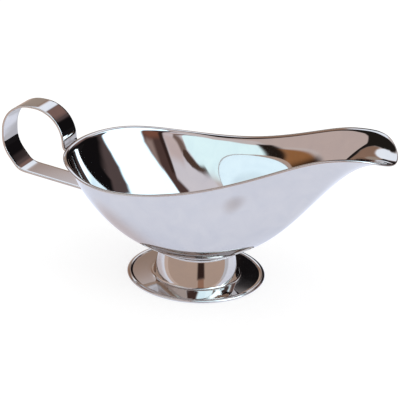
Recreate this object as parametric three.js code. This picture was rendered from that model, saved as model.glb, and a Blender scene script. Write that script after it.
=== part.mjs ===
import * as THREE from 'three';

// Footed sauce boat: a drawn bowl with a pouring lip, a spun pedestal foot and a bent strap handle.
// Millimetres, +Z up. X runs from the handle (-X) to the lip (+X). The pieces are laid out round the
// foot's axis, and the last lines put the middle of the whole boat's footprint over the origin.

// Sheet and joints
const bowlSheet = 0.8;
const footSheet = 0.8;
const strapSheet = 1.0;
const jointGap = 0.3;

// Foot: spun in one piece, with a flat collar on top, a neck that widens downwards, a nearly flat skirt and a
// rolled hem; leans are in degrees from plumb, the droop in degrees from level
const footHeight = 15.7;
const footRadius = 31;
const hemWidth = 2.6;
const collarRadius = 20.4;
const collarBend = 2;
const neckRadius = 16.3; // under the collar
const neckFoot = 19.5; // where neck and skirt would cross without their fillet
const neckTopLean = 16;
const neckLean = 13.5; // at its foot
const filletReach = 0.9; // either way from that crossing
const skirtDroop = 0.3;
const skirtEdge = 1.15; // height of the skirt where it meets the hem

// Weld nuggets: a ring of small ones on the collar and two on each pad of the handle
const footWeldCount = 4;
const footWeldRadius = 0.8;
const padWeldRadius = 1.2;
const padWeldSpacing = 4;
const padWeldClearance = 0.08;

// Bowl: the seat is its flat underside. Rim heights are above the seat, rim widths go from side to side,
// and a setback is measured in from the tip of the lip or from the rear of the rim.
const bandWidth = 2;
const bandBend = 1.1;
const bandEdgeRound = 0.25;
const spoutReach = 86;
const tipHeight = 53.2;
const lipSetback = 7.5;
const lipWidth = 33;
const lipHeight = 57.5;
const crestSetback = 20.5;
const crestWidth = 45;
const crestHeight = 57.5;
const throatX = 49.5;
const throatWidth = 55.2;
const throatHeight = 52.8;
const flankX = 14.5;
const flankWidth = 75.4;
const flankHeight = 39.8;
const widestX = -24;
const bowlWidth = 86;
const lowHeight = 34;
const shoulderSetback = 13.5;
const shoulderWidth = 64.8;
const shoulderHeight = 35.5;
const cornerSetback = 2.5;
const cornerWidth = 32;
const cornerHeight = 36;
const rearReach = 61.5;
const rearHeight = 36.2;

// Wall sections at the rear, the sides and the bow, and at the lip, which is a narrow place in the bow: slope
// where the wall leaves the seat and where it meets the rim band, in degrees from level, and how far each
// slope is held, as a share of the section's length
const seatSlope = { rear: 5, side: 17, bow: 25 };
const rimSlope = { rear: 71, side: 68, bow: 44, lip: -3 };
const seatHold = { rear: 0.31, side: 0.3, bow: 0.42 };
const rimHold = { rear: 0.3, side: 0.28, bow: 0.22, lip: 0.28 };
const lipSpread = 13; // degrees round the foot's axis

// Handle: a flat strap, measured along its middle line; heights are above the seat
const strapWidth = 13.2;
const handleReach = 33.6; // back of the loop, behind the rear of the rim
const handleRise = 14.7; // top of the loop, above the rear of the rim
const legStandOff = 3; // front leg, behind the rear of the rim
const backBendHeight = 29.4;
const heelInset = 8.2; // lowest bend, in from the back of the loop
const heelHeight = 19.65;
const joinHeight = 16; // where the lower run meets the wall
const lowerPadDrop = 3; // middle of the lower pad, below the join
const tuckDrop = 2; // where the front leg turns in, below the rear of the rim
const tuckSlope = 34; // degrees below level
const upperPadDrop = 8.8; // middle of the upper pad, below the rear of the rim
const padLength = 8;
const padFade = 6; // the pads' cross curve dies out over this length of strap
const padCurveEase = 1.3; // the pads are a little flatter across than the wall
const padBend = 2.5;
const tuckBend = 2;
const heelBend = 6.3;
const backBend = 14.5;
const loopBackBend = 13.3;
const loopFrontBend = 15.2;

// Steps of the meshes
const columnsPerStation = 4;
const wallRows = 13;
const bendSteps = 3;
const footSides = 56;
const neckSteps = 5;
const hemSteps = 6;
const strapArcSteps = 6;
const strapColumns = 6;
const strapStep = 4;
const weldSides = 16;

const steel = (color, roughness) => new THREE.MeshStandardMaterial({ color, roughness, metalness: 1 });
const bowlSteel = steel(0xc9c9d1, 0.06);
const footSteel = steel(0xbdb8b6, 0.06);
const strapSteel = steel(0xc3c1c6, 0.08);
const weldSteel = steel(0x8d8a88, 0.45);

const part = new THREE.Group();

function addMesh(name, geometry, material) {
  const mesh = new THREE.Mesh(geometry, material);
  mesh.name = name;
  part.add(mesh);
  return mesh;
}

const up = new THREE.Vector3(0, 0, 1);
const radians = THREE.MathUtils.degToRad;

// Point reached from `base` by going a distance along each direction: (base, dir, length, dir, length, ...)
function offset(base, ...moves) {
  const point = base.clone();
  for (let i = 0; i < moves.length; i += 2) point.addScaledVector(moves[i], moves[i + 1]);
  return point;
}

// Closed skin over lines of points that lie side by side right round a piece. Every line starts at the same
// first point and ends at the same last point, as meridians do.
function skinRound(lines) {
  const count = lines.length;
  const inner = lines[0].length - 2;
  const points = [lines[0][0], lines[0][inner + 1], ...lines.flatMap((line) => line.slice(1, -1))];
  const at = (i, j) => 2 + (i % count) * inner + j;
  const indices = [];
  for (let i = 0; i < count; i++) {
    indices.push(0, at(i + 1, 0), at(i, 0));
    for (let j = 0; j < inner - 1; j++) {
      indices.push(at(i, j), at(i + 1, j), at(i + 1, j + 1));
      indices.push(at(i, j), at(i + 1, j + 1), at(i, j + 1));
    }
    indices.push(at(i, inner - 1), at(i + 1, inner - 1), 1);
  }
  const geometry = new THREE.BufferGeometry();
  const positions = points.flatMap((p) => [p.x, p.y, p.z]);
  geometry.setAttribute('position', new THREE.Float32BufferAttribute(positions, 3));
  geometry.setIndex(indices);
  geometry.computeVertexNormals();
  return geometry;
}

// Bowl

const seatZ = footHeight + jointGap;
const halfRim = [
  [spoutReach, 0, tipHeight],
  [spoutReach - lipSetback, lipWidth / 2, lipHeight],
  [spoutReach - crestSetback, crestWidth / 2, crestHeight],
  [throatX, throatWidth / 2, throatHeight],
  [flankX, flankWidth / 2, flankHeight],
  [widestX, bowlWidth / 2, lowHeight],
  [shoulderSetback - rearReach, shoulderWidth / 2, shoulderHeight],
  [cornerSetback - rearReach, cornerWidth / 2, cornerHeight],
  [-rearReach, 0, rearHeight],
];
const otherHalf = halfRim.slice(1, -1).reverse().map(([x, y, z]) => [x, -y, z]);
const stations = [...halfRim, ...otherHalf].map(([x, y, z]) => new THREE.Vector3(x, y, z + seatZ));
const stationCount = stations.length;
const rearStation = stationCount / 2;

// Controls of a smooth closed cubic curve that passes through every station
const controls = stations.map((station) => station.clone());
for (let pass = 0; pass < 40; pass++) {
  stations.forEach((station, i) => {
    const before = controls[(i + stationCount - 1) % stationCount];
    const after = controls[(i + 1) % stationCount];
    controls[i] = offset(station, station, 0.5, before, -0.25, after, -0.25);
  });
}

// Point of the rim and its direction in plan, `place` stations along from the tip of the lip
function rimAt(place) {
  const i = Math.floor(place);
  const t = place - i;
  const near = [-1, 0, 1, 2].map((k) => controls[(i + k + stationCount) % stationCount]);
  const weights = [(1 - t) ** 3, 3 * t ** 3 - 6 * t ** 2 + 4, 1 + 3 * t + 3 * t ** 2 - 3 * t ** 3, t ** 3];
  const slopes = [-((1 - t) ** 2), 3 * t ** 2 - 4 * t, 1 + 2 * t - 3 * t ** 2, t ** 2];
  const point = new THREE.Vector3();
  const along = new THREE.Vector3();
  near.forEach((control, k) => {
    point.addScaledVector(control, weights[k] / 6);
    along.addScaledVector(control, slopes[k] / 2);
  });
  return { point, along };
}

// Value between the rear, side and bow values, by the angle round the boat, with the lip's near the bow's tip
function blend({ rear, side, bow, lip = bow }, angle) {
  const c = Math.cos(angle);
  const spread = (2 * Math.sin(angle / 2)) / radians(lipSpread);
  const nearTip = Math.exp(-spread * spread);
  return side + ((bow - rear) / 2) * c + ((bow + rear) / 2 - side) * c * c + (lip - bow) * nearTip;
}

// Outer face of the wall at one place round the boat: a curve from the seat up to the foot of the rim band
function section(place) {
  const { point, along } = rimAt(place);
  const out = new THREE.Vector3(along.y, -along.x, 0).normalize();
  const edge = offset(point, up, -bowlSheet / 2);
  const foot = offset(edge, out, -bandWidth);
  const angle = Math.atan2(foot.y, foot.x);
  const radial = new THREE.Vector3(Math.cos(angle), Math.sin(angle), 0);
  const seat = offset(new THREE.Vector3(0, 0, seatZ), radial, collarRadius);
  const length = seat.distanceTo(foot);
  const rise = radians(blend(seatSlope, angle));
  const meet = radians(blend(rimSlope, angle));
  const lower = blend(seatHold, angle) * length;
  const upper = blend(rimHold, angle) * length;
  const fromSeat = offset(seat, radial, Math.cos(rise) * lower, up, Math.sin(rise) * lower);
  const toRim = offset(foot, radial, -Math.cos(meet) * upper, up, -Math.sin(meet) * upper);
  const bendStart = 1 - bandBend / (3 * upper);
  return { edge, foot, out, bendStart, wall: new THREE.CubicBezierCurve3(seat, fromSeat, toRim, foot) };
}

// The same place as a line of points: half-way out on the flat seat, up the wall, round the bend and out
// along the underside of the band
function outerLine(place) {
  const { edge, foot, out, bendStart, wall } = section(place);
  const line = [new THREE.Vector3(wall.v0.x / 2, wall.v0.y / 2, seatZ)];
  for (let i = 0; i < wallRows; i++) line.push(wall.getPoint((bendStart * i) / wallRows));
  const bend = new THREE.QuadraticBezierCurve3(wall.getPoint(bendStart), foot, offset(foot, out, bandBend));
  line.push(...bend.getPoints(bendSteps), offset(edge, out, -bandEdgeRound));
  return line;
}

function bowlGeometry() {
  const count = stationCount * columnsPerStation;
  const middle = new THREE.Vector3(0, 0, seatZ);
  const places = Array.from({ length: count }, (_, i) => i / columnsPerStation);
  const outer = places.map(outerLine);
  const lines = outer.map((line, i) => {
    const left = outer[(i + 1) % count];
    const right = outer[(i + count - 1) % count];
    const inner = line.map((point, j) => {
      const round = left[j].clone().sub(right[j]);
      const outward = (line[j + 1] ?? point).clone().sub(line[j - 1] ?? middle);
      return offset(point, outward.cross(round).normalize(), bowlSheet);
    });
    const edge = offset(section(places[i]).edge, up, bowlSheet / 2);
    return [middle, ...line, edge, ...inner.reverse(), offset(middle, up, bowlSheet)];
  });
  return skinRound(lines);
}

addMesh('bowl', bowlGeometry(), bowlSteel);

// Foot

// Points on an ellipse from one angle of it to another, without the first point
function ellipsePart(x, y, width, height, from, to, steps) {
  return Array.from({ length: steps }, (_, i) => {
    const angle = radians(from + ((to - from) * (i + 1)) / steps);
    return new THREE.Vector2(x + width * Math.cos(angle), y + height * Math.sin(angle));
  });
}

// Outer face from the foot of the collar's bend down the neck, round the fillet and out along the skirt
function footFace(top, skirtEnd) {
  const down = (lean) => new THREE.Vector2(Math.sin(radians(lean)), -Math.cos(radians(lean)));
  const outward = down(90 - skirtDroop);
  const rise = (skirtEnd.x - neckFoot) * Math.tan(radians(skirtDroop));
  const corner = new THREE.Vector2(neckFoot, skirtEnd.y + rise);
  const low = offset(corner, down(neckLean), -filletReach);
  const third = (top.y - low.y) / 3;
  const fromTop = offset(top, down(neckTopLean), third / Math.cos(radians(neckTopLean)));
  const toLow = offset(low, down(neckLean), -third / Math.cos(radians(neckLean)));
  const neck = new THREE.CubicBezierCurve(top, fromTop, toLow, low);
  const fillet = new THREE.QuadraticBezierCurve(low, corner, offset(corner, outward, filletReach));
  return [...neck.getPoints(neckSteps), ...fillet.getPoints(bendSteps).slice(1), skirtEnd];
}

function footGeometry() {
  const bendRadius = neckRadius + collarBend;
  const bendTop = footHeight - footSheet - collarBend;
  const boreBend = collarBend + footSheet;
  const roll = hemWidth / 2;
  const hemMiddle = footRadius - roll;
  const rollStart = Math.asin(skirtEdge / footSheet - 1);
  const skirtEnd = new THREE.Vector2(hemMiddle - roll * Math.cos(rollStart), skirtEdge);
  const face = footFace(new THREE.Vector2(neckRadius, bendTop), skirtEnd);
  const bore = face.slice(1, -1).map((point, i) => {
    const along = face[i + 2].clone().sub(face[i]).normalize();
    return offset(point, new THREE.Vector2(along.y, -along.x), footSheet);
  });
  const hemStart = 180 - THREE.MathUtils.radToDeg(rollStart);
  const profile = [
    new THREE.Vector2(bendRadius, footHeight),
    new THREE.Vector2(collarRadius, footHeight),
    new THREE.Vector2(collarRadius, footHeight - footSheet),
    new THREE.Vector2(bendRadius, footHeight - footSheet),
    ...ellipsePart(bendRadius, bendTop, collarBend, collarBend, 90, 180, bendSteps),
    ...face.slice(1),
    ...ellipsePart(hemMiddle, footSheet, roll, footSheet, hemStart, 0, hemSteps),
    ...ellipsePart(hemMiddle, footSheet, roll, footSheet, 0, -90, bendSteps),
    new THREE.Vector2(skirtEnd.x, 0),
    new THREE.Vector2(skirtEnd.x, skirtEdge - footSheet),
    ...bore.reverse(),
    new THREE.Vector2(neckRadius - footSheet, bendTop),
    ...ellipsePart(bendRadius, bendTop, boreBend, boreBend, 180, 90, bendSteps),
  ];
  return new THREE.LatheGeometry(profile.reverse(), footSides).rotateX(Math.PI / 2);
}

addMesh('foot', footGeometry(), footSteel);

// Handle, drawn in the plane of the boat's middle: x and height

const rear = section(rearStation);
const rearZ = stations[rearStation].z;

// Line of a pad that lies on the rear wall: the point of its middle and its direction up the wall
function padLine(height) {
  let low = 0;
  let high = 1;
  for (let i = 0; i < 40; i++) {
    const middle = (low + high) / 2;
    if (rear.wall.getPoint(middle).z < height) low = middle;
    else high = middle;
  }
  const touch = rear.wall.getPoint(low);
  const climb = rear.wall.getTangent(low);
  const direction = new THREE.Vector2(climb.x, climb.z);
  const away = new THREE.Vector2(-climb.z, climb.x);
  const wall = new THREE.Vector2(touch.x, touch.z);
  return { share: low, direction, away, wall, middle: offset(wall, away, jointGap + strapSheet / 2) };
}

// Crossing of the line through `a` along `u` with the line through `b` along `v`
function crossing(a, u, b, v) {
  const apart = b.clone().sub(a);
  return offset(a, u, apart.cross(v) / u.cross(v));
}

const upperPad = padLine(rearZ - upperPadDrop);
const lowerPad = padLine(seatZ + joinHeight - lowerPadDrop);

function strapCorners() {
  const legX = -rearReach - legStandOff;
  const backX = -rearReach - handleReach;
  const topZ = rearZ + handleRise;
  const level = new THREE.Vector2(1, 0);
  const tuck = new THREE.Vector2(legX, rearZ - tuckDrop);
  const inward = new THREE.Vector2(Math.cos(radians(tuckSlope)), -Math.sin(radians(tuckSlope)));
  const joinLevel = new THREE.Vector2(0, seatZ + joinHeight);
  const join = crossing(lowerPad.middle, lowerPad.direction, joinLevel, level);
  const upperCorner = crossing(upperPad.middle, upperPad.direction, tuck, inward);
  return [
    { at: offset(join, lowerPad.direction, -padLength), bend: 0 },
    { at: join, bend: padBend },
    { at: new THREE.Vector2(backX + heelInset, seatZ + heelHeight), bend: heelBend },
    { at: new THREE.Vector2(backX, seatZ + backBendHeight), bend: backBend },
    { at: new THREE.Vector2(backX, topZ), bend: loopBackBend },
    { at: new THREE.Vector2(legX, topZ), bend: loopFrontBend },
    { at: tuck, bend: tuckBend },
    { at: upperCorner, bend: padBend },
    { at: offset(upperCorner, upperPad.direction, -padLength), bend: 0 },
  ];
}

// Line through corners, each rounded by its bend as far as the straights beside it have room
function roundedPath(corners) {
  const last = corners.length - 1;
  const turns = corners.map(({ at, bend }, i) => {
    if (i === 0 || i === last) return { setback: 0 };
    const back = corners[i - 1].at.clone().sub(at).normalize();
    const on = corners[i + 1].at.clone().sub(at).normalize();
    const half = (Math.PI - Math.acos(back.dot(on))) / 2;
    return { back, on, half, setback: bend * Math.tan(half) };
  });
  const room = corners.slice(1).map(({ at }, i) => {
    const wanted = turns[i].setback + turns[i + 1].setback;
    return Math.min(1, at.distanceTo(corners[i].at) / wanted);
  });
  const points = [corners[0].at];
  for (let i = 1; i < last; i++) {
    const { back, on, half, setback } = turns[i];
    const fitted = setback * Math.min(room[i - 1], room[i]);
    const bisector = back.clone().add(on).normalize();
    const centre = offset(corners[i].at, bisector, fitted / Math.sin(half));
    const spoke = offset(corners[i].at, back, fitted).sub(centre);
    const turn = Math.sign(on.cross(back)) * 2 * half;
    for (let k = 0; k <= strapArcSteps; k++) {
      points.push(spoke.clone().rotateAround(new THREE.Vector2(), (turn * k) / strapArcSteps).add(centre));
    }
  }
  return [...points, corners[last].at];
}

// The same line with no step longer than `longest`
function subdivided(points, longest) {
  return points.flatMap((point, i) => {
    if (i === 0) return [point];
    const steps = Math.ceil(point.distanceTo(points[i - 1]) / longest);
    return Array.from({ length: steps }, (_, k) => points[i - 1].clone().lerp(point, (k + 1) / steps));
  });
}

// Radius of the wall across the middle plane: the seat's at its foot, the rim's at its top
function crossRadius(share) {
  const beside = rimAt(rearStation - 1 / columnsPerStation).point;
  const rimRadius = beside.y ** 2 / (2 * (beside.x + rearReach)) - bandWidth;
  return THREE.MathUtils.lerp(collarRadius, rimRadius, share) * padCurveEase;
}

function strapGeometry() {
  const path = subdivided(roundedPath(strapCorners()), strapStep);
  const walked = path.map(() => 0);
  for (let i = 1; i < path.length; i++) walked[i] = walked[i - 1] + path[i].distanceTo(path[i - 1]);
  const total = walked.at(-1);
  const flatPad = padLength - padBend;
  const strength = (distance) => 1 - THREE.MathUtils.smoothstep(distance - flatPad, 0, padFade);
  const rings = path.map((point, i) => {
    const along = (path[i + 1] ?? point).clone().sub(path[i - 1] ?? point).normalize();
    const side = new THREE.Vector2(-along.y, along.x);
    const pads = [
      { away: lowerPad.away, bow: strength(walked[i]) / (2 * crossRadius(lowerPad.share)) },
      { away: upperPad.away, bow: strength(total - walked[i]) / (2 * crossRadius(upperPad.share)) },
    ];
    const corner = (column, face) => {
      const y = strapWidth * (column / strapColumns - 0.5);
      const flat = offset(point, side, (face * strapSheet) / 2);
      for (const { away, bow } of pads) flat.addScaledVector(away, -bow * y * y);
      return new THREE.Vector3(flat.x, y, flat.y);
    };
    const columns = Array.from({ length: strapColumns + 1 }, (_, k) => k);
    const top = columns.map((k) => corner(k, 1));
    const bottom = columns.map((k) => corner(k, -1));
    return [...bottom, ...top.reverse()];
  });
  const end = (point) => new THREE.Vector3(point.x, 0, point.y);
  const lines = rings[0].map((_, k) => [end(path[0]), ...rings.map((ring) => ring[k]), end(path.at(-1))]);
  return skinRound(lines);
}

addMesh('handle', strapGeometry(), strapSteel);

// Weld nuggets

const footWeldRing = (neckRadius + collarBend + collarRadius) / 2;
for (let i = 0; i < footWeldCount; i++) {
  const angle = (2 * Math.PI * (i + 0.5)) / footWeldCount;
  const nugget = new THREE.CylinderGeometry(footWeldRadius, footWeldRadius, jointGap, weldSides);
  const mesh = addMesh(`foot_weld_${i + 1}`, nugget.rotateX(Math.PI / 2), weldSteel);
  mesh.position.set(footWeldRing * Math.cos(angle), footWeldRing * Math.sin(angle), footHeight + jointGap / 2);
}

for (const [place, pad] of [['upper', upperPad], ['lower', lowerPad]]) {
  [0.5, -0.5].forEach((share, i) => {
    const height = jointGap - 2 * padWeldClearance;
    const nugget = new THREE.CylinderGeometry(padWeldRadius, padWeldRadius, height, weldSides);
    const mesh = addMesh(`handle_${place}_weld_${i + 1}`, nugget, weldSteel);
    const centre = offset(pad.wall, pad.away, jointGap / 2, pad.direction, share * padWeldSpacing);
    mesh.position.set(centre.x, 0, centre.y);
    mesh.quaternion.setFromUnitVectors(new THREE.Vector3(0, 1, 0), new THREE.Vector3(pad.away.x, 0, pad.away.y));
  });
}

// Middle of the footprint over the origin
const back = -rearReach - handleReach - strapSheet / 2;
part.position.x = -(back + spoutReach) / 2;

export default part;
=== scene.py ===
import math

import bpy
import numpy as np
from mathutils import Matrix, Vector


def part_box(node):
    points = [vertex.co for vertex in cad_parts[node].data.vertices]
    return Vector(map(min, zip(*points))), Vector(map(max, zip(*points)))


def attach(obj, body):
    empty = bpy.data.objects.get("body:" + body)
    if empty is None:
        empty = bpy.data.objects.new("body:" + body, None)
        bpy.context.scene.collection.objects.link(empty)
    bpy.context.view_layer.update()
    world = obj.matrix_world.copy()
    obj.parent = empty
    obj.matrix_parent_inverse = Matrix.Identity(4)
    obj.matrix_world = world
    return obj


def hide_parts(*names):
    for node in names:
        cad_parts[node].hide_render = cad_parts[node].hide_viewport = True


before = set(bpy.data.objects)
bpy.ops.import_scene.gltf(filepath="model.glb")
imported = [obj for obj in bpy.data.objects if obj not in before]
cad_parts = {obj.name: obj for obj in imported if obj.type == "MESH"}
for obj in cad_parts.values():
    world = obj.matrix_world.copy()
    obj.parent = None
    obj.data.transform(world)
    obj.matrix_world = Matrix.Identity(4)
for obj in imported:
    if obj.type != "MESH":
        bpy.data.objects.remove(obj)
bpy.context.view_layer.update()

# A footed sauce boat in mirror-polished stainless steel: a drawn bowl with a pouring lip, a spun pedestal foot
# and a bent strap handle. The three show at their full smoothness here and stand for the solids of the frame.
# Sizes are in millimetres, with the foot's axis at x = 0, until a mesh is made; a mesh is in metres. Slopes, leans
# and turns are in degrees where no comment says radians.

MM = 0.001
AXIS_X = (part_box("foot")[0][0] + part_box("foot")[1][0]) / 2
AXIS = np.array([AXIS_X, 0, 0])  # the foot's axis in the frame, metres
UP = np.array([0.0, 0.0, 1.0])

# Sheet and joints
BOWL_SHEET = 0.8
FOOT_SHEET = 0.8
STRAP_SHEET = 1.0
JOINT_GAP = 0.3

# Foot
FOOT_HEIGHT = 15.7
FOOT_RADIUS = 31.0
HEM_WIDTH = 2.6
COLLAR_RADIUS = 20.4
COLLAR_BEND = 2.0
EDGE_EASE = 0.25
NECK_RADIUS = 16.3
NECK_FOOT = 19.5
NECK_TOP_LEAN = 16.0
NECK_LEAN = 13.5
FILLET_REACH = 0.9
SKIRT_DROOP = 0.3
SKIRT_EDGE = 1.15

# Bowl: rim stations from the tip of the lip round to the rear, as x, half width and height above the seat
HALF_RIM = [
    (86.0, 0.0, 53.2),
    (78.5, 16.5, 57.5),
    (65.5, 22.5, 57.5),
    (49.5, 27.6, 52.8),
    (14.5, 37.7, 39.8),
    (-24.0, 43.0, 34.0),
    (-48.0, 32.4, 35.5),
    (-59.0, 16.0, 36.0),
    (-61.5, 0.0, 36.2),
]
SEAT_Z = FOOT_HEIGHT + JOINT_GAP
BAND_WIDTH = 2.0
BAND_BEND = 1.1
SEAT_FILLET_OUTSIDE = 1.0
SEAT_FILLET_INSIDE = 7.0

# Slope of the wall at the seat and at the rim, and the share of its length that holds each slope, at the rear, the
# sides, the bow and the lip
SEAT_SLOPE = (5.0, 17.0, 25.0, 25.0)
RIM_SLOPE = (71.0, 68.0, 44.0, -3.0)
SEAT_HOLD = (0.31, 0.30, 0.42, 0.42)
RIM_HOLD = (0.30, 0.28, 0.22, 0.28)
LIP_SPREAD = 13.0

# Handle: a flat strap; heights are above the seat, and bends are radii of its middle line
STRAP_WIDTH = 13.2
STRAP_EDGE = 0.3
REAR_REACH = 61.5
HANDLE_REACH = 33.6
HANDLE_RISE = 14.7
LEG_STAND_OFF = 3.0
BACK_BEND_HEIGHT = 29.4
HEEL_INSET = 8.2
HEEL_HEIGHT = 19.65
HEEL_BEND = 6.3
BACK_BEND = 14.5
LOOP_BACK_BEND = 13.3
LOOP_FRONT_BEND = 15.2
TUCK_BEND = 2.0
TUCK_DROP = 2.0
TUCK_SLOPE = 34.0
JOIN_HEIGHT = 16.0
LOWER_PAD_DROP = 3.0
UPPER_PAD_DROP = 8.8
PAD_LENGTH = 8.0
PAD_FADE = 6.0
PAD_CURVE_EASE = 1.3
PAD_BEND = 2.5

# Fineness of the meshes
BOWL_COLUMNS = 384
BOWL_ROWS = (6, 6, 60, 8, 4)  # over the seat, its fillet, the wall, the bend and the rim band
RIM_EDGE_TURN = 15
FOOT_SIDES = 256
NECK_STEPS = 32
BEND_STEPS = 16
HEM_STEPS = 20
EDGE_STEPS = 4
SKIRT_SHARES = (0.2, 0.6, 0.95, 0.99, 1.0)  # of the way out to the hem
STRAP_STEP = 0.5
STRAP_COLUMNS = 12
STRAP_BEND_STEPS = 32
STRAP_EASING = 2  # steps over which a bend of the strap starts
PROBE = 1e-4  # half the step over which a slope of the wall is measured
PAD_PROBES = 4000


# ---- shapes ----

def bezier(controls, t):
    """Bezier curve: neighbouring control points are mixed in the ratio t, again and again, until one is left."""
    points = list(controls)
    while len(points) > 1:
        points = [a + (b - a) * t for a, b in zip(points, points[1:])]
    return points[0]


def unit(vectors):
    """Each vector over its length."""
    return vectors / np.linalg.norm(vectors, axis=-1, keepdims=True)


def rim_controls():
    """Controls of the closed uniform cubic spline through the stations: at a station the curve is 1/6 of the
    control before, 4/6 of its own and 1/6 of the one after, which is a linear system."""
    other_half = [(x, -y, z) for x, y, z in HALF_RIM[-2:0:-1]]
    stations = np.array(HALF_RIM + other_half) + UP * SEAT_Z
    eye = np.eye(len(stations))
    system = (np.roll(eye, 1, axis=1) + 4 * eye + np.roll(eye, -1, axis=1)) / 6
    return np.linalg.solve(system, stations)


RIM = rim_controls()
REAR_PLACE = len(RIM) / 2


def rim_at(place):
    """Rim point and its direction, `place` stations round from the tip: the uniform cubic B-spline formula."""
    i = np.floor(place).astype(int)
    t = (place - i)[..., None]
    near = [RIM[(i + k) % len(RIM)] for k in (-1, 0, 1, 2)]
    weights = ((1 - t) ** 3, 3 * t ** 3 - 6 * t ** 2 + 4, 1 + 3 * t + 3 * t ** 2 - 3 * t ** 3, t ** 3)
    slopes = (-(1 - t) ** 2, 3 * t ** 2 - 4 * t, 1 + 2 * t - 3 * t ** 2, t ** 2)
    point = sum(w * c for w, c in zip(weights, near)) / 6
    along = sum(s * c for s, c in zip(slopes, near)) / 2
    return point, along


def blend(values, angle):
    """Rear, side and bow values blended by the angle round the boat, as a quadratic in its cosine, and moved
    towards the lip's value by a bell curve about the tip."""
    rear, side, bow, lip = values
    c = np.cos(angle)
    spread = 2 * np.sin(angle / 2) / math.radians(LIP_SPREAD)
    return side + (bow - rear) / 2 * c + ((bow + rear) / 2 - side) * c * c + (lip - bow) * np.exp(-spread ** 2)


def section(place):
    """Wall sections: a cubic Bezier from the seat's edge to the inner edge of the rim band, whose end slopes and
    holds are blended round the boat. Gives its four controls, the rim's edge, the direction out of it and the
    share of the wall at which the bend under the rim band starts."""
    point, along = rim_at(place)
    out = unit(np.stack([along[..., 1], -along[..., 0], np.zeros_like(place)], axis=-1))
    edge = point - UP * BOWL_SHEET / 2
    foot = edge - out * BAND_WIDTH
    angle = np.arctan2(foot[..., 1], foot[..., 0])
    radial = np.stack([np.cos(angle), np.sin(angle), np.zeros_like(angle)], axis=-1)
    seat = radial * COLLAR_RADIUS + UP * SEAT_Z
    length = np.linalg.norm(foot - seat, axis=-1)
    rise = np.radians(blend(SEAT_SLOPE, angle))[..., None]
    meet = np.radians(blend(RIM_SLOPE, angle))[..., None]
    lower = (blend(SEAT_HOLD, angle) * length)[..., None]
    upper = (blend(RIM_HOLD, angle) * length)[..., None]
    from_seat = seat + radial * np.cos(rise) * lower + UP * np.sin(rise) * lower
    to_rim = foot - radial * np.cos(meet) * upper - UP * np.sin(meet) * upper
    return (seat, from_seat, to_rim, foot), edge, out, 1 - BAND_BEND / (3 * upper)


def wall_point(place, row, fillet):
    """Point of the bowl's outer face. `row` runs 0..1 over the flat seat, 1..2 over the fillet at its edge, 2..3 up
    the wall's Bezier, 3..4 round the bend under the rim and 4..5 out along the rim band."""
    wall, edge, out, bend_start = section(place)
    seat, foot = wall[0], wall[3]
    middle = UP * SEAT_Z
    radial = unit(seat - middle)
    chord = 3 * np.linalg.norm(wall[1] - seat, axis=-1, keepdims=True)
    start = fillet / chord
    s = np.clip(row - np.arange(5)[:, None, None, None], 0, 1)
    flat = seat - radial * fillet
    pieces = [
        bezier([middle, flat], s[0]),
        bezier([flat, seat, bezier(wall, start)], s[1]),
        bezier(wall, start + (bend_start - start) * s[2]),
        bezier([bezier(wall, bend_start), foot, foot + out * BAND_BEND], s[3]),
        bezier([foot + out * BAND_BEND, edge - out * BOWL_SHEET / 2], s[4]),
    ]
    return np.select([row < 1, row < 2, row < 3, row < 4], pieces[:4], pieces[4])


def wall_face(place, row, fillet):
    """The outer face and its normal into the bowl, from the face's two slopes over a small step."""
    inside = np.clip(row, PROBE, len(BOWL_ROWS) - PROBE)
    climb = wall_point(place, inside + PROBE, fillet) - wall_point(place, inside - PROBE, fillet)
    round_ = wall_point(place + PROBE, inside, fillet) - wall_point(place - PROBE, inside, fillet)
    return wall_point(place, row, fillet), unit(np.cross(climb, round_))


def bowl_shape():
    """Skin over the bowl: the outer face from its middle to the rim, a half circle round the rim's edge, and back
    inside along the outer face's normals, one sheet away."""
    place = (np.arange(BOWL_COLUMNS) * len(RIM) / BOWL_COLUMNS)[:, None]
    rows = np.concatenate([k + np.arange(1, n + 1) / n for k, n in enumerate(BOWL_ROWS)])[None, :]
    place, rows = np.broadcast_arrays(place, rows)
    rows = rows[..., None]
    outer = wall_point(place, rows, SEAT_FILLET_OUTSIDE)
    under, normal = wall_face(place, rows, SEAT_FILLET_INSIDE)
    inner = under + normal * BOWL_SHEET
    _, _, out, _ = section(place[:, -1])
    half = BOWL_SHEET / 2
    turn = np.radians(np.arange(RIM_EDGE_TURN, 180, RIM_EDGE_TURN))[None, :, None]
    centre = (outer[:, -1] + inner[:, -1])[:, None] / 2
    edge = centre + half * (out[:, None] * np.sin(turn) - normal[:, -1:] * np.cos(turn))
    lines = np.concatenate([outer, edge, inner[:, ::-1]], axis=1)
    return lines, UP * SEAT_Z, UP * (SEAT_Z + BOWL_SHEET)


def arc(x, y, width, height, start, end, steps):
    """Points on an ellipse about (x, y), from one angle to another, both ends included."""
    turn = np.radians(np.linspace(start, end, steps + 1))
    return np.stack([x + width * np.cos(turn), y + height * np.sin(turn)], axis=-1)


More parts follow.
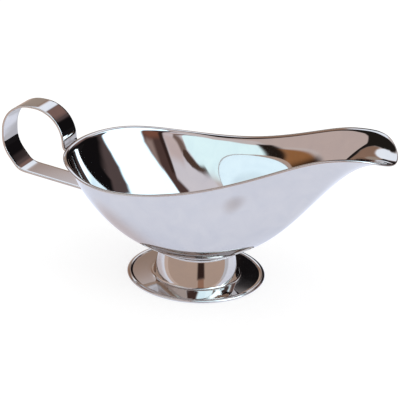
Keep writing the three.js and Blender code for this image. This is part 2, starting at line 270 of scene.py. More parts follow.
def foot_profile():
    """Half section of the foot as a closed line of (radius, height): flat collar, bend into the neck, a neck that
    widens as it falls (a cubic Bezier between its two leans), a tight fillet (a quadratic one), a skirt that
    droops a little, the rolled hem (half an ellipse), flat base, and back up inside one sheet away. Its last arc
    stops just short of its first point, which closes it."""
    collar_edge = COLLAR_RADIUS - EDGE_EASE
    collar_bottom = FOOT_HEIGHT - FOOT_SHEET
    bend = NECK_RADIUS + COLLAR_BEND
    bend_top = collar_bottom - COLLAR_BEND
    roll = HEM_WIDTH / 2
    middle = FOOT_RADIUS - roll
    rise = math.degrees(math.asin(SKIRT_EDGE / FOOT_SHEET - 1))
    edge = middle - roll * math.cos(math.radians(rise))
    droop = math.radians(SKIRT_DROOP)
    top_lean, lean = math.radians(NECK_TOP_LEAN), math.radians(NECK_LEAN)
    corner = np.array([NECK_FOOT, SKIRT_EDGE + (edge - NECK_FOOT) * math.tan(droop)])
    start = np.array([NECK_RADIUS, bend_top])
    low = corner + np.array([-math.sin(lean), math.cos(lean)]) * FILLET_REACH
    out = corner + np.array([math.cos(droop), -math.sin(droop)]) * FILLET_REACH
    third = (start[1] - low[1]) / 3
    neck = [start, start + [third * math.tan(top_lean), -third], low + [-third * math.tan(lean), third], low]
    face = np.concatenate([
        bezier(neck, np.linspace(0, 1, NECK_STEPS + 1)[:, None]),
        bezier([low, corner, out], np.linspace(0, 1, BEND_STEPS + 1)[1:, None]),
        bezier([out, np.array([edge, SKIRT_EDGE])], np.array(SKIRT_SHARES)[:, None]),
    ])
    along = unit(np.gradient(face, axis=0))
    inside = face + np.stack([along[:, 1], -along[:, 0]], axis=-1) * FOOT_SHEET
    inner_bend = COLLAR_BEND + FOOT_SHEET
    return np.concatenate([
        [(bend, FOOT_HEIGHT)],
        arc(collar_edge, FOOT_HEIGHT - EDGE_EASE, EDGE_EASE, EDGE_EASE, 90, 0, EDGE_STEPS),
        arc(collar_edge, collar_bottom + EDGE_EASE, EDGE_EASE, EDGE_EASE, 0, -90, EDGE_STEPS),
        arc(bend, bend_top, COLLAR_BEND, COLLAR_BEND, 90, 180, BEND_STEPS)[:-1],
        face,
        arc(middle, FOOT_SHEET, roll, FOOT_SHEET, 180 - rise, 0, HEM_STEPS)[1:],
        arc(middle, FOOT_SHEET, roll, FOOT_SHEET, 0, -90, HEM_STEPS // 2)[1:],
        [(edge + EDGE_EASE, 0), (edge, EDGE_EASE)],
        inside[-2:0:-1],
        [(NECK_RADIUS - FOOT_SHEET, bend_top)],
        arc(bend, bend_top, inner_bend, inner_bend, 180, 92, BEND_STEPS)[1:],
    ])


def foot_shape():
    """The profile carried round the axis."""
    turn = 2 * np.pi * np.arange(FOOT_SIDES)[:, None] / FOOT_SIDES
    radius, height = foot_profile()[::-1].T
    return np.stack([radius * np.cos(turn), radius * np.sin(turn), height + 0 * turn], axis=-1)


def pad_line(height):
    """Where the rear wall reaches a height: its point there, the share of the wall below it, the direction up the
    wall and the direction away from it, all in the middle plane (x, z)."""
    wall, _, _, _ = section(np.array(REAR_PLACE))
    t = np.linspace(0, 1, PAD_PROBES + 1)
    points = bezier(wall, t[:, None])
    i = np.searchsorted(points[:, 2], height)
    climb = unit(points[i + 1] - points[i - 1])[[0, 2]]
    return {"wall": points[i][[0, 2]], "share": t[i], "climb": climb, "away": np.array([-climb[1], climb[0]])}


REAR_Z = HALF_RIM[-1][2] + SEAT_Z
UPPER_PAD = pad_line(REAR_Z - UPPER_PAD_DROP)
LOWER_PAD = pad_line(SEAT_Z + JOIN_HEIGHT - LOWER_PAD_DROP)


def crossing(a, u, b, v):
    """Where the line through a along u crosses the line through b along v."""
    apart = b - a
    return a + u * (apart[0] * v[1] - apart[1] * v[0]) / (u[0] * v[1] - u[1] * v[0])


def strap_corners():
    """Corners of the strap's middle line in (x, z), each with the radius of its bend."""
    leg_x = -REAR_REACH - LEG_STAND_OFF
    back_x = -REAR_REACH - HANDLE_REACH
    top_z = REAR_Z + HANDLE_RISE
    off = JOINT_GAP + STRAP_SHEET / 2
    upper = UPPER_PAD["wall"] + UPPER_PAD["away"] * off
    lower = LOWER_PAD["wall"] + LOWER_PAD["away"] * off
    tuck = np.array([leg_x, REAR_Z - TUCK_DROP])
    slope = math.radians(TUCK_SLOPE)
    join = crossing(lower, LOWER_PAD["climb"], np.array([0, SEAT_Z + JOIN_HEIGHT]), np.array([1.0, 0]))
    turn_in = crossing(upper, UPPER_PAD["climb"], tuck, np.array([math.cos(slope), -math.sin(slope)]))
    return [
        (join - LOWER_PAD["climb"] * PAD_LENGTH, 0),
        (join, PAD_BEND),
        (np.array([back_x + HEEL_INSET, SEAT_Z + HEEL_HEIGHT]), HEEL_BEND),
        (np.array([back_x, SEAT_Z + BACK_BEND_HEIGHT]), BACK_BEND),
        (np.array([back_x, top_z]), LOOP_BACK_BEND),
        (np.array([leg_x, top_z]), LOOP_FRONT_BEND),
        (tuck, TUCK_BEND),
        (turn_in, PAD_BEND),
        (turn_in - UPPER_PAD["climb"] * PAD_LENGTH, 0),
    ]


def rounded_path(corners):
    """The line through the corners with an arc in each, as far as the straights beside it have room."""
    ats = [at for at, _ in corners]
    turns = [None]
    for before, (at, bend), after in zip(ats, corners[1:-1], ats[2:]):
        back, on = unit(before - at), unit(after - at)
        half = (math.pi - math.acos(np.clip(back @ on, -1, 1))) / 2
        turns.append([back, on, half, bend * math.tan(half)])
    wanted = [0] + [turn[3] for turn in turns[1:]] + [0]
    room = [min(1, np.linalg.norm(b - a) / (p + q)) for a, b, p, q in zip(ats, ats[1:], wanted, wanted[1:])]
    points = [ats[0][None]]
    for i, (back, on, half, setback) in enumerate(turns[1:], 1):
        fitted = setback * min(room[i - 1], room[i])
        centre = ats[i] + unit(back + on) * fitted / math.sin(half)
        spoke = ats[i] + back * fitted - centre
        side = np.sign(on[0] * back[1] - on[1] * back[0])
        turn = side * 2 * half * np.linspace(0, 1, STRAP_BEND_STEPS + 1)
        x = spoke[0] * np.cos(turn) - spoke[1] * np.sin(turn)
        z = spoke[0] * np.sin(turn) + spoke[1] * np.cos(turn)
        points.append(centre + np.stack([x, z], axis=-1))
    return np.concatenate(points + [ats[-1][None]])


def even_path(points, step):
    """The same line with points an even distance apart, and how far along each one is."""
    apart = np.linalg.norm(np.diff(points, axis=0), axis=1)
    walked = np.concatenate([[0], np.cumsum(apart)])
    at = np.linspace(0, walked[-1], int(round(walked[-1] / step)) + 1)
    return np.stack([np.interp(at, walked, points[:, k]) for k in range(2)], axis=-1), at


def eased(points, reach):
    """Each point moved to the mean of its neighbours under a bell curve, so that bends start gradually. The
    line's ends are carried on straight first, which keeps them in place."""
    k = np.arange(1, 4 * reach + 1)
    before = points[0] - (points[1] - points[0]) * k[::-1, None]
    after = points[-1] + (points[-1] - points[-2]) * k[:, None]
    long = np.concatenate([before, points, after])
    bell = np.exp(-0.5 * (np.arange(-4 * reach, 4 * reach + 1) / reach) ** 2)
    bell /= bell.sum()
    return np.stack([np.convolve(long[:, c], bell, "valid") for c in range(2)], axis=-1)


def cross_radius(share):
    """Radius of the rear wall across the middle plane: the seat's at its foot, the rim's at its top, which comes
    from how far the rim draws in a quarter of a station beside the middle."""
    beside, _ = rim_at(np.array(REAR_PLACE - 0.25))
    rim_radius = beside[1] ** 2 / (2 * (beside[0] + REAR_REACH)) - BAND_WIDTH
    return (COLLAR_RADIUS + (rim_radius - COLLAR_RADIUS) * share) * PAD_CURVE_EASE


def handle_shape():
    """A rounded rectangle carried along the middle line, bowed across at the two pads to lie on the wall: a point
    moves away by its distance across, squared, over twice the wall's radius."""
    path, walked = even_path(rounded_path(strap_corners()), STRAP_STEP)
    path = eased(path, STRAP_EASING)
    along = unit(np.gradient(path, axis=0))
    side = np.stack([-along[:, 1], along[:, 0]], axis=-1)
    flat_pad = PAD_LENGTH - PAD_BEND
    bows = []
    for pad, distance in ((LOWER_PAD, walked), (UPPER_PAD, walked[-1] - walked)):
        fade = np.clip((distance - flat_pad) / PAD_FADE, 0, 1)
        bows.append((1 - fade * fade * (3 - 2 * fade)) / (2 * cross_radius(pad["share"])))
    half_width, half_sheet = STRAP_WIDTH / 2 - STRAP_EDGE, STRAP_SHEET / 2 - STRAP_EDGE
    level = np.linspace(-half_width, half_width, STRAP_COLUMNS + 1)[1:-1]
    outline = np.concatenate([
        arc(-half_width, -half_sheet, STRAP_EDGE, STRAP_EDGE, 180, 270, EDGE_STEPS),
        np.stack([level, 0 * level - STRAP_SHEET / 2], axis=-1),
        arc(half_width, -half_sheet, STRAP_EDGE, STRAP_EDGE, 270, 360, EDGE_STEPS),
        arc(half_width, half_sheet, STRAP_EDGE, STRAP_EDGE, 0, 90, EDGE_STEPS),
        np.stack([-level, 0 * level + STRAP_SHEET / 2], axis=-1),
        arc(-half_width, half_sheet, STRAP_EDGE, STRAP_EDGE, 90, 180, EDGE_STEPS),
    ])
    across, lift = outline.T
    flat = path[None] + side[None] * lift[:, None, None]
    for pad, bow in zip((LOWER_PAD, UPPER_PAD), bows):
        flat = flat - pad["away"] * (bow[None, :] * across[:, None] ** 2)[..., None]
    lines = np.stack([flat[..., 0], across[:, None] + 0 * flat[..., 0], flat[..., 1]], axis=-1)
    lower_end, upper_end = [np.array([path[k, 0], 0, path[k, 1]]) for k in (0, -1)]
    return lines, lower_end, upper_end


# ---- meshes ----

def skin(lines, first=None, last=None):
    """Faces over a grid of points that closes round its columns. A first and a last point close its rows as
    poles; without them its rows close too, as on a ring."""
    columns, rows = lines.shape[:2]
    index = np.arange(columns * rows).reshape(columns, rows)
    beside = np.roll(index, -1, axis=0)
    if first is None:
        above, beside_above = np.roll(index, -1, axis=1), np.roll(beside, -1, axis=1)
        quads = np.stack([index, beside, beside_above, above], axis=-1).reshape(-1, 4)
        return lines.reshape(-1, 3), quads.tolist()
    quads = np.stack([index[:, :-1], beside[:, :-1], beside[:, 1:], index[:, 1:]], axis=-1).reshape(-1, 4)
    pole = columns * rows
    starts = np.stack([np.full(columns, pole), beside[:, 0], index[:, 0]], axis=-1)
    ends = np.stack([np.full(columns, pole + 1), index[:, -1], beside[:, -1]], axis=-1)
    points = np.concatenate([lines.reshape(-1, 3), first[None], last[None]])
    return points, quads.tolist() + starts.tolist() + ends.tolist()


def add_piece(name, shape, material, node):
    """Makes the mesh in metres in the frame, smooth, and lets it stand for its node."""
    points, faces = shape
    mesh = bpy.data.meshes.new(name)
    mesh.from_pydata(points * MM + AXIS, [], faces)
    mesh.polygons.foreach_set("use_smooth", np.ones(len(mesh.polygons), bool))
    mesh.materials.append(material)
    mesh.update()
    piece = bpy.data.objects.new(name, mesh)
    bpy.context.collection.objects.link(piece)
    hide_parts(node)
    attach(piece, "root")


# ---- materials ----

MIX_A, MIX_B, MIX_OUT = 6, 7, 2  # numbers of the Mix node's colour sockets

# Most of a noise's values lie in this range, which is stretched to the range that is wanted
NOISE_RANGE = {"From Min": 0.3, "From Max": 0.7}

# Polished steel: sizes and depths of what its surface shows, and the roughness that each adds
SHEET_WAVE = 24
SMEAR = 8
SMEAR_CURL = 0.6
SMEAR_HAZE = {"To Min": 0.018, "To Max": 0.034}
MOP_LINE = 0.25
MOP_DEPTH = 0.00006
MOP_HAZE = {"To Min": 0.0, "To Max": 0.016}
ALONG_BOAT = (0.03, 1.0, 1.0)
ALONG_STRAP = (0.02, 1.0, 0.02)

# Weld metal: the same
WELD_RIPPLE = 0.35
WELD_RIPPLE_DEPTH = 0.02
WELD_ROUGHNESS = {"To Min": 0.28, "To Max": 0.46}
HEAT_PATCH = 0.8


def linear(hex_colour):
    """sRGB hex to linear RGBA."""
    parts = [int(hex_colour[i:i + 2], 16) / 255 for i in (1, 3, 5)]
    return (*(c / 12.92 if c <= 0.04045 else ((c + 0.055) / 1.055) ** 2.4 for c in parts), 1.0)


def add_node(tree, kind, settings=None, links=None):
    """Adds a node, sets its properties and socket values, and links its inputs to other nodes' outputs. A socket
    goes by its name, or by its number where the node has several of that name."""
    node = tree.nodes.new(kind)
    for key, value in (settings or {}).items():
        if isinstance(key, str) and hasattr(node, key):
            setattr(node, key, value)
        else:
            node.inputs[key].default_value = value
    for key, output in (links or {}).items():
        tree.links.new(output, node.inputs[key])
    return node


def new_material(name):
    """A material with no nodes yet."""
    material = bpy.data.materials.new(name)
    material.use_nodes = True
    material.node_tree.nodes.clear()
    return material, material.node_tree


def per_mm(size):
    """Texture scale at which one feature is `size` millimetres wide."""
    return 1 / (size * MM)


def mirror_steel(name, bright, cool, wave_depth, squeeze=None):
    """18/8 stainless sheet, buffed with soft mops until it mirrors. Its looks: sharp reflections whose edges wander
    a little, because pressed sheet keeps faint waves 24 mm long; a wiped haze in 8 mm smears; and hair-fine mop
    lines, really 0.02 mm apart and drawn at 0.25 mm so that they show at all. The lines run along the axes that
    are squeezed, or without a squeeze in rings about the foot's axis."""
    material, tree = new_material(name)
    place = add_node(tree, "ShaderNodeTexCoord").outputs["Object"]
    if squeeze:
        lined = add_node(tree, "ShaderNodeMapping", {"Scale": squeeze}, {"Vector": place})
    else:
        about = add_node(tree, "ShaderNodeMapping", {"Location": (-AXIS_X, 0, 0), "Scale": (1, 1, 0)},
                         {"Vector": place})
        radius = add_node(tree, "ShaderNodeVectorMath", {"operation": "LENGTH"}, {"Vector": about.outputs[0]})
        axes = add_node(tree, "ShaderNodeSeparateXYZ", links={"Vector": place})
        lined = add_node(tree, "ShaderNodeCombineXYZ", links={"X": radius.outputs["Value"], "Y": axes.outputs["Z"]})
    waves = add_node(tree, "ShaderNodeTexNoise", {"Scale": per_mm(SHEET_WAVE), "Detail": 1.0}, {"Vector": place})
    lines = add_node(tree, "ShaderNodeTexNoise", {"Scale": per_mm(MOP_LINE), "Detail": 3.0},
                     {"Vector": lined.outputs[0]})
    smears = add_node(tree, "ShaderNodeTexNoise", {"Scale": per_mm(SMEAR), "Detail": 4.0, "Distortion": SMEAR_CURL},
                      {"Vector": place})
    sheet = add_node(tree, "ShaderNodeBump", {"Strength": 1.0, "Distance": wave_depth * MM},
                     {"Height": waves.outputs["Fac"]})
    mopped = add_node(tree, "ShaderNodeBump", {"Strength": 1.0, "Distance": MOP_DEPTH * MM},
                      {"Height": lines.outputs["Fac"], "Normal": sheet.outputs[0]})
    wiped = add_node(tree, "ShaderNodeMapRange", {**NOISE_RANGE, **SMEAR_HAZE}, {"Value": smears.outputs["Fac"]})
    fuzzed = add_node(tree, "ShaderNodeMapRange", {**NOISE_RANGE, **MOP_HAZE}, {"Value": lines.outputs["Fac"]})
    haze = add_node(tree, "ShaderNodeMath", {"operation": "ADD"}, {0: wiped.outputs[0], 1: fuzzed.outputs[0]})
    cooled = add_node(tree, "ShaderNodeMapRange", NOISE_RANGE, {"Value": smears.outputs["Fac"]})
    tint = add_node(tree, "ShaderNodeMix", {"data_type": "RGBA", MIX_A: linear(bright), MIX_B: linear(cool)},
                    {"Factor": cooled.outputs[0]})
    shader = add_node(tree, "ShaderNodeBsdfPrincipled", {"Metallic": 1.0}, {
        "Base Color": tint.outputs[MIX_OUT], "Roughness": haze.outputs[0], "Normal": mopped.outputs[0]})
    add_node(tree, "ShaderNodeOutputMaterial", links={"Surface": shader.outputs["BSDF"]})
    return material


def weld_metal(name):
    """Fused stainless steel left as it froze. Its looks: a dull silvery bead with ripples 0.35 mm apart, and heat
    colours from straw to blue in patches under a millimetre wide."""
    material, tree = new_material(name)
    place = add_node(tree, "ShaderNodeTexCoord").outputs["Object"]
    ripples = add_node(tree, "ShaderNodeTexNoise", {"Scale": per_mm(WELD_RIPPLE), "Detail": 3.0}, {"Vector": place})
    heat = add_node(tree, "ShaderNodeTexNoise", {"Scale": per_mm(HEAT_PATCH), "Detail": 2.0}, {"Vector": place})
    colours = add_node(tree, "ShaderNodeValToRGB", links={"Fac": heat.outputs["Fac"]})
    stops = colours.color_ramp.elements
    stops[0].position, stops[0].color = 0.3, linear("#a89268")
    stops[1].position, stops[1].color = 0.72, linear("#6d7791")
    stops.new(0.5).color = linear("#a09c98")
    bead = add_node(tree, "ShaderNodeBump", {"Strength": 1.0, "Distance": WELD_RIPPLE_DEPTH * MM},
                    {"Height": ripples.outputs["Fac"]})
    rough = add_node(tree, "ShaderNodeMapRange", {**NOISE_RANGE, **WELD_ROUGHNESS}, {"Value": ripples.outputs["Fac"]})
    shader = add_node(tree, "ShaderNodeBsdfPrincipled", {"Metallic": 1.0}, {
        "Base Color": colours.outputs["Color"], "Roughness": rough.outputs[0], "Normal": bead.outputs[0]})
    add_node(tree, "ShaderNodeOutputMaterial", links={"Surface": shader.outputs["BSDF"]})
    return material


bowl_steel = mirror_steel("stainless steel, pressed and mirror-polished", "#d3cfcc", "#cdcac9",
                          wave_depth=0.012, squeeze=ALONG_BOAT)
foot_steel = mirror_steel("stainless steel, spun and mirror-polished", "#d3cec9", "#cdc9c6", wave_depth=0.006)
strap_steel = mirror_steel("stainless steel strap, mirror-polished", "#d3cfcc", "#cdcac9",
                           wave_depth=0.008, squeeze=ALONG_STRAP)
weld_steel = weld_metal("stainless steel weld metal, as welded")

add_piece("bowl_polished", skin(*bowl_shape()), bowl_steel, "bowl")
add_piece("foot_polished", skin(foot_shape()), foot_steel, "foot")
add_piece("handle_polished", skin(*handle_shape()), strap_steel, "handle")

for name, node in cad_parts.items():
    if "weld" in name:
        node.material_slots[0].material = weld_steel


# ---- studio ----

# What stands round the table, as the metal alone shows it: panels on a dome, each with its name, its colour, its
# light (1 is as bright as its colour), the softness of its edge and its outline as (azimuth, elevation). Azimuth
# turns from +X to +Y and elevation is up from the floor. Later panels lie over earlier ones.
PANELS = [
    ("pale wall", "#e9dfe0", 0.95, 1, [(-180, -2), (180, -2), (180, 90), (-180, 90)]),
    ("tan skirting", "#cdb5a8", 0.95, 6, [(-200, -9), (200, -9), (200, 9), (-200, 9)]),
    ("lavender card", "#e8e6f0", 1.1, 4,
     [(-128, 20), (-120, 35), (-108, 47), (-98, 56), (-70, 56), (-60, 20), (-95, 14)]),
    ("pink card", "#e3d2d2", 1.0, 9, [(-104, 18), (-98, 34), (-76, 38), (-62, 18)]),
    ("window", "#ceedff", 2.6, 5,
     [(-33, 6), (-33, 30), (-38, 39), (-46, 47), (-56, 53), (-67, 60), (-76, 67), (-80, 76), (60, 76), (60, 6)]),
    ("brightest part of the window", "#dcf2ff", 5.0, 12, [(-24, 8), (-24, 36), (14, 36), (16, 8)]),
    ("top of the window", "#d4f0ff", 2.75, 8, [(-34, 44), (-30, 68), (36, 68), (36, 44)]),
    ("skylight", "#d4f0ff", 2.4, 6, [(-70, 66), (-70, 95), (60, 95), (60, 66)]),
    ("brown door", "#5b4642", 1.0, 5,
     [(-60, 8), (-63, 20), (-68, 30), (-76, 42), (-80.5, 51.5), (-98, 53), (-96, 60), (-78, 67), (-68, 60),
      (-57, 53), (-47, 47), (-39, 39), (-34, 30), (-33, 8)]),
    ("light side of the door", "#a9938d", 1.0, 9, [(-50, 50), (-46, 28), (-38, 26), (-34, 30), (-39, 40)]),
    ("orange foot of the door", "#8a5c4c", 1.0, 8, [(-58, 8), (-60, 24), (-42, 26), (-35, 22), (-34, 8)]),
    ("dark wall beside the lens", "#3d2c28", 1.0, 4,
     [(-64, 8), (-66.5, 23), (-71, 32), (-76.5, 42), (-79, 48), (-72, 50), (-66, 38), (-60, 26), (-56, 8)]),
    ("drape", "#605353", 1.0, 5,
     [(22, -4), (20, 18), (18.5, 28), (21, 38), (33, 46), (44, 47), (60, 37), (72, 38), (96, 37), (97, 29),
      (105, 25), (111, 20), (110, -4)]),
    ("black fold of the drape", "#161416", 1.0, 12,
     [(26, -9), (28, 16), (40, 24), (54, 26), (62, 18), (78, 24), (92, 28), (104, 22), (108, -9)]),
    ("black pleat of the drape", "#161416", 1.0, 4, [(50, 5), (50, 30), (62, 29), (65, 22), (65, 5)]),
    ("brown shelf", "#8f736d", 1.0, 5, [(70, 27), (75, 34), (82, 38), (94, 38), (94, 32), (84, 30)]),
    ("side window", "#e9f2ff", 1.4, 4,
     [(97, 31), (104, 28), (114, 27.5), (124, 29), (133, 33), (139, 38), (139, 44), (136, 50), (127, 54.5),
      (104, 54.5), (93, 49), (93, 38)]),
    ("black cloth behind the foot", "#161416", 1.0, 2, [(101, 6), (103, 25), (106, 27.3), (110.6, 27.3), (111.5, 6)]),
    ("brown cupboard", "#9c7d6c", 1.0, 5,
     [(111, -6), (111, 25), (118, 28), (132, 31), (137, 34), (141, 38), (143, 44), (148, 43), (156, 38), (160, 31),
      (161, 25), (155, 19), (154, -6)]),
    ("pale end of the cupboard", "#afa095", 1.0, 6, [(113, -6), (113, 24), (122, 26), (129, 20), (129, -6)]),
    ("black ceiling corner", "#25211f", 1.0, 4,
     [(157, 12), (153, 16), (154, 20), (160, 25), (159, 31), (154, 39), (146, 44), (140, 47), (134, 51), (122, 55),
      (104, 54), (84, 50), (84, 62), (112, 66), (150, 66), (186, 60), (204, 48), (203, 41), (192, 39), (182, 36),
      (180, 30), (177, 25), (172, 21), (174, 15), (168, 11)]),
    ("tan wall", "#cdbcb8", 1.15, 2,
     [(-192, 11), (-188, 34), (-184, 36), (-168, 41), (-154, 41), (-151, 28), (-153, 11)]),
    ("cyan window", "#dcf8ff", 1.55, 1.2,
     [(-150, 0), (-150, 12.5), (-135, 12.5), (-129, 13), (-126, 15.5), (-122, 20), (-118, 23), (-104, 22),
      (-97, 16), (-100, 6), (-125, 0)]),
    ("soft end of the brown frame", "#86716a", 1.0, 4,
     [(-104, 29), (-96, 27), (-90, 23), (-83, 20), (-83, 16), (-92, 17), (-98, 19), (-104, 22)]),
    ("brown frame", "#5a463c", 1.0, 1,
     [(-122.4, 19.2), (-121, 21), (-118.6, 23.8), (-115, 26.6), (-110, 29), (-104, 29.5), (-99, 28.5), (-99, 25),
      (-104, 23), (-110, 23.4), (-115, 23.2), (-117.6, 22.4), (-119.4, 21), (-121.4, 19.2)]),
    ("black post", "#2a211d", 1.0, 1.6, [(-154.5, 0), (-154.5, 14), (-150, 14), (-149.5, 0)]),
    ("oak post", "#a8754c", 1.0, 1.6, [(-163, 1), (-163, 9.5), (-154, 9.5), (-154, 1)]),
    ("dark edge of the oak post", "#2e211b", 1.0, 3, [(-167, 13), (-161, 10), (-156.5, 3.5), (-156, -2), (-170, -2)]),
]
# A low wall round the table, seen by the foot's neck: the same, with the height in millimetres for the elevation
LOW_PANELS = [
    ("tan boards", "#cdb5a8", 0.95, 2, [(-200, -9), (200, -9), (200, 90), (-200, 90)]),
    ("orange-brown gap", "#ad8470", 0.95, 3, [(-63, -9), (-63, 24), (-48, 24), (-48, -9)]),
    ("dark gap", "#3a2a26", 1.0, 6, [(-65, 24), (-65, 90), (-46, 90), (-46, 24)]),
    ("black boards", "#1d1b1d", 1.0, 3, [(57, -9), (57, 90), (110, 90), (110, -9)]),
]
DOME_RADIUS = 3000.0
WALL_RADIUS = 262.0
WALL_HEIGHT = 64.0
STUDIO_STEP = 0.5
WALL_ROWS = 32

# Paper on the table. The camera sees it white: a grey that takes the boat's shadow, and a light of its own. The
# metal shows it tan in front and grey-blue behind, which change over between two places in y, with ovals on it
# that are painted light, painted shadow and a grey spot: each with its name, its middle, the half length and half
# width up to which it covers fully, how many times these it fades out at, and its colour.
FLOOR_HALF = 4000.0
PAPER = "#aaaaaa"
PAPER_LIGHT = "#d7d7d7"
FRONT_TONE, BACK_TONE = "#9e7965", "#9095a6"
TONE_CHANGE = (-30, 20)
FLOOR_OVALS = [
    # Painted light: the paper as the metal shows it, brighter and lavender round the boat, where it is lit most, and
    # fading to the darker tones further off.
    ("painted lavender light round the boat", (0, 19), (100.8, 91.2), 1.25, "#cbd4ea"),
    # A small darker grey spot on the paper, which only the metal shows.
    ("small grey spot", (54, -68), (3, 3), 4.0, "#938b95"),
    # Painted shadow: the paper darker and greyer close under the bowl, beside and behind the foot, as the metal shows
    # it.
    ("painted shadow under the bowl", (-38, -10), (10, 10), 4.2, "#b5acb5"),
]


def soft_outline(azimuth, elevation, outline, softness):
    """How much a panel covers each direction: the distance to the nearest side of its outline, positive inside by
    the crossing rule, over the softness of its edge."""
    corners = np.array(outline, float)
    points = np.stack([azimuth, elevation], axis=-1)
    nearest = np.full(azimuth.shape, np.inf)
    inside = np.zeros(azimuth.shape, bool)
    for a, b in zip(corners, np.roll(corners, -1, axis=0)):
        side = b - a
        along = np.clip(((points - a) @ side) / (side @ side), 0, 1)
        nearest = np.minimum(nearest, np.linalg.norm(points - a - along[..., None] * side, axis=-1))
        crosses = (a[1] > elevation) != (b[1] > elevation)
        rise = side[1] if side[1] else 1e-9
        inside ^= crosses & (azimuth < a[0] + (elevation - a[1]) * side[0] / rise)
    cover = np.clip(0.5 + np.where(inside, nearest, -nearest) / softness, 0, 1)
    return cover * cover * (3 - 2 * cover)


def add_stage(mesh, material):
    """Puts a mesh of the studio in the scene; it is no part of the boat."""
    mesh.materials.append(material)
    stage = bpy.data.objects.new(mesh.name, mesh)
    bpy.context.collection.objects.link(stage)
    return stage


def add_surround(name, panels, turn, lift, place):
    """A surface round the table that only the metal shows, lit by its panels: each panel in turn replaces the
    light under it by as much as it covers. `turn` and `lift` are the grid of azimuths and of elevations or
    heights, and `place` the points over it."""
    light = np.zeros((*turn.shape, 3))
    for _, colour, strength, softness, outline in panels:
        cover = np.zeros(turn.shape)
        for lap in (-360, 0, 360):
            cover = np.maximum(cover, soft_outline(turn + lap, lift, outline, softness))
        light += (np.array(linear(colour)[:3]) * strength - light) * cover[..., None]
    columns, rows = turn.shape
    index = np.arange(columns * rows).reshape(columns, rows)
    beside = np.roll(index, -1, axis=0)
    faces = np.stack([index[:, :-1], index[:, 1:], beside[:, 1:], beside[:, :-1]], axis=-1).reshape(-1, 4)
    mesh = bpy.data.meshes.new(name)
    mesh.from_pydata(place.reshape(-1, 3) * MM + AXIS, [], faces.tolist())
    layer = mesh.color_attributes.new("light", "FLOAT_COLOR", "POINT")
    layer.data.foreach_set("color", np.concatenate([light, np.ones((columns, rows, 1))], axis=-1).ravel())
    material, tree = new_material(name + " lights and walls")
    colour = add_node(tree, "ShaderNodeVertexColor", {"layer_name": "light"})
    glow = add_node(tree, "ShaderNodeEmission", links={"Color": colour.outputs["Color"]})
    add_node(tree, "ShaderNodeOutputMaterial", links={"Surface": glow.outputs[0]})
    surround = add_stage(mesh, material)
    surround.visible_camera = surround.visible_diffuse = surround.visible_shadow = False


def add_dome():
    """Half sphere round the table: (cos e cos a, cos e sin a, sin e) times its radius."""
    azimuths, elevations = np.arange(-180, 180, STUDIO_STEP), np.arange(-STUDIO_STEP, 90.1, STUDIO_STEP)
    turn, lift = np.meshgrid(azimuths, elevations, indexing="ij")
    a, e = np.radians(turn), np.radians(lift)
    place = np.stack([np.cos(e) * np.cos(a), np.cos(e) * np.sin(a), np.sin(e)], axis=-1) * DOME_RADIUS
    add_surround("studio_dome", PANELS, turn, lift, place)


def add_low_wall():
    """Upright band round the table: (cos a, sin a) times its radius, and its height."""
    azimuths, heights = np.arange(-180, 180, STUDIO_STEP), np.linspace(0, WALL_HEIGHT, WALL_ROWS + 1)
    turn, lift = np.meshgrid(azimuths, heights, indexing="ij")
    a = np.radians(turn)
    place = np.stack([np.cos(a) * WALL_RADIUS, np.sin(a) * WALL_RADIUS, lift], axis=-1)
    add_surround("low_wall", LOW_PANELS, turn, lift, place)


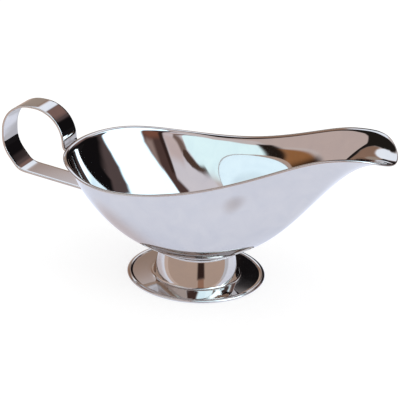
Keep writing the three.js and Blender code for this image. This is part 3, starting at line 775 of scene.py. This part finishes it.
def add_floor():
    """A flat square. The tone that the metal shows is mixed by place: by y, and then for each oval by the distance
    from its middle, over its half length and half width."""
    mesh = bpy.data.meshes.new("floor")
    half = FLOOR_HALF * MM
    mesh.from_pydata([(-half, -half, 0), (half, -half, 0), (half, half, 0), (-half, half, 0)], [], [(0, 1, 2, 3)])
    material, tree = new_material("white table paper")
    place = add_node(tree, "ShaderNodeTexCoord").outputs["Object"]
    axes = add_node(tree, "ShaderNodeSeparateXYZ", links={"Vector": place})
    front, back = TONE_CHANGE
    smooth = {"interpolation_type": "SMOOTHSTEP"}
    behind = add_node(tree, "ShaderNodeMapRange", {**smooth, "From Min": front * MM, "From Max": back * MM},
                      {"Value": axes.outputs["Y"]})
    tone = add_node(tree, "ShaderNodeMix", {"data_type": "RGBA", MIX_A: linear(FRONT_TONE), MIX_B: linear(BACK_TONE)},
                    {"Factor": behind.outputs[0]})
    for _, middle, full, fade, colour in FLOOR_OVALS:
        off = add_node(tree, "ShaderNodeVectorMath",
                       {"operation": "SUBTRACT", 1: (middle[0] * MM, middle[1] * MM, 0)}, {0: place})
        shares = add_node(tree, "ShaderNodeVectorMath",
                          {"operation": "DIVIDE", 1: (full[0] * MM, full[1] * MM, 1)}, {0: off.outputs[0]})
        far = add_node(tree, "ShaderNodeVectorMath", {"operation": "LENGTH"}, {0: shares.outputs[0]})
        cover = add_node(tree, "ShaderNodeMapRange",
                         {**smooth, "From Min": 1, "From Max": fade, "To Min": 1, "To Max": 0},
                         {"Value": far.outputs["Value"]})
        tone = add_node(tree, "ShaderNodeMix", {"data_type": "RGBA", MIX_B: linear(colour)},
                        {"Factor": cover.outputs[0], MIX_A: tone.outputs[MIX_OUT]})
    to_camera = add_node(tree, "ShaderNodeEmission", {"Color": linear(PAPER_LIGHT)})
    to_metal = add_node(tree, "ShaderNodeEmission", links={"Color": tone.outputs[MIX_OUT]})
    path = add_node(tree, "ShaderNodeLightPath")
    light = add_node(tree, "ShaderNodeMixShader", links={
        "Fac": path.outputs["Is Glossy Ray"], 1: to_camera.outputs[0], 2: to_metal.outputs[0]})
    paper = add_node(tree, "ShaderNodeBsdfDiffuse", {"Color": linear(PAPER)})
    both = add_node(tree, "ShaderNodeAddShader", links={0: paper.outputs[0], 1: light.outputs[0]})
    add_node(tree, "ShaderNodeOutputMaterial", links={"Surface": both.outputs[0]})
    add_stage(mesh, material)


add_floor()
add_dome()
add_low_wall()

world = bpy.data.worlds.new("even white light")
bpy.context.scene.world = world
world.use_nodes = True
world.node_tree.nodes["Background"].inputs["Color"].default_value = linear("#ffffff")

# Camera, from the photograph's outlines: it looks at a point over the foot from the near side, a little from the
# lip's end and from above, and is rolled a few degrees. The three angles are in radians.
TURN, TILT, ROLL = 0.3708, 0.3958, 0.0482
DISTANCE = 617.53
TARGET = np.array([0.2368, 0.0, 35.688])
PHOTO_WIDTH = 400
FOCAL_PIXELS = 1400
SENSOR = 36.0


def add_camera():
    """Its three axes: to the right and along the view by turn and tilt, up square to both, and then rolled."""
    right = np.array([math.cos(TURN), math.sin(TURN), 0])
    look = np.array([-math.sin(TURN) * math.cos(TILT), math.cos(TURN) * math.cos(TILT), -math.sin(TILT)])
    above = np.cross(right, look)
    rolled_right = math.cos(ROLL) * right + math.sin(ROLL) * above
    rolled_up = math.cos(ROLL) * above - math.sin(ROLL) * right
    place = (TARGET - look * DISTANCE) * MM + AXIS
    camera = bpy.data.objects.new("camera", bpy.data.cameras.new("camera"))
    camera.data.sensor_width = SENSOR
    camera.data.lens = FOCAL_PIXELS / PHOTO_WIDTH * SENSOR
    turned = Matrix([rolled_right, rolled_up, -look]).transposed().to_4x4()
    camera.matrix_world = Matrix.Translation(Vector(place)) @ turned
    bpy.context.collection.objects.link(camera)
    bpy.context.scene.camera = camera


add_camera()
bpy.context.scene.view_settings.view_transform = "Standard"

bpy.context.view_layer.update()
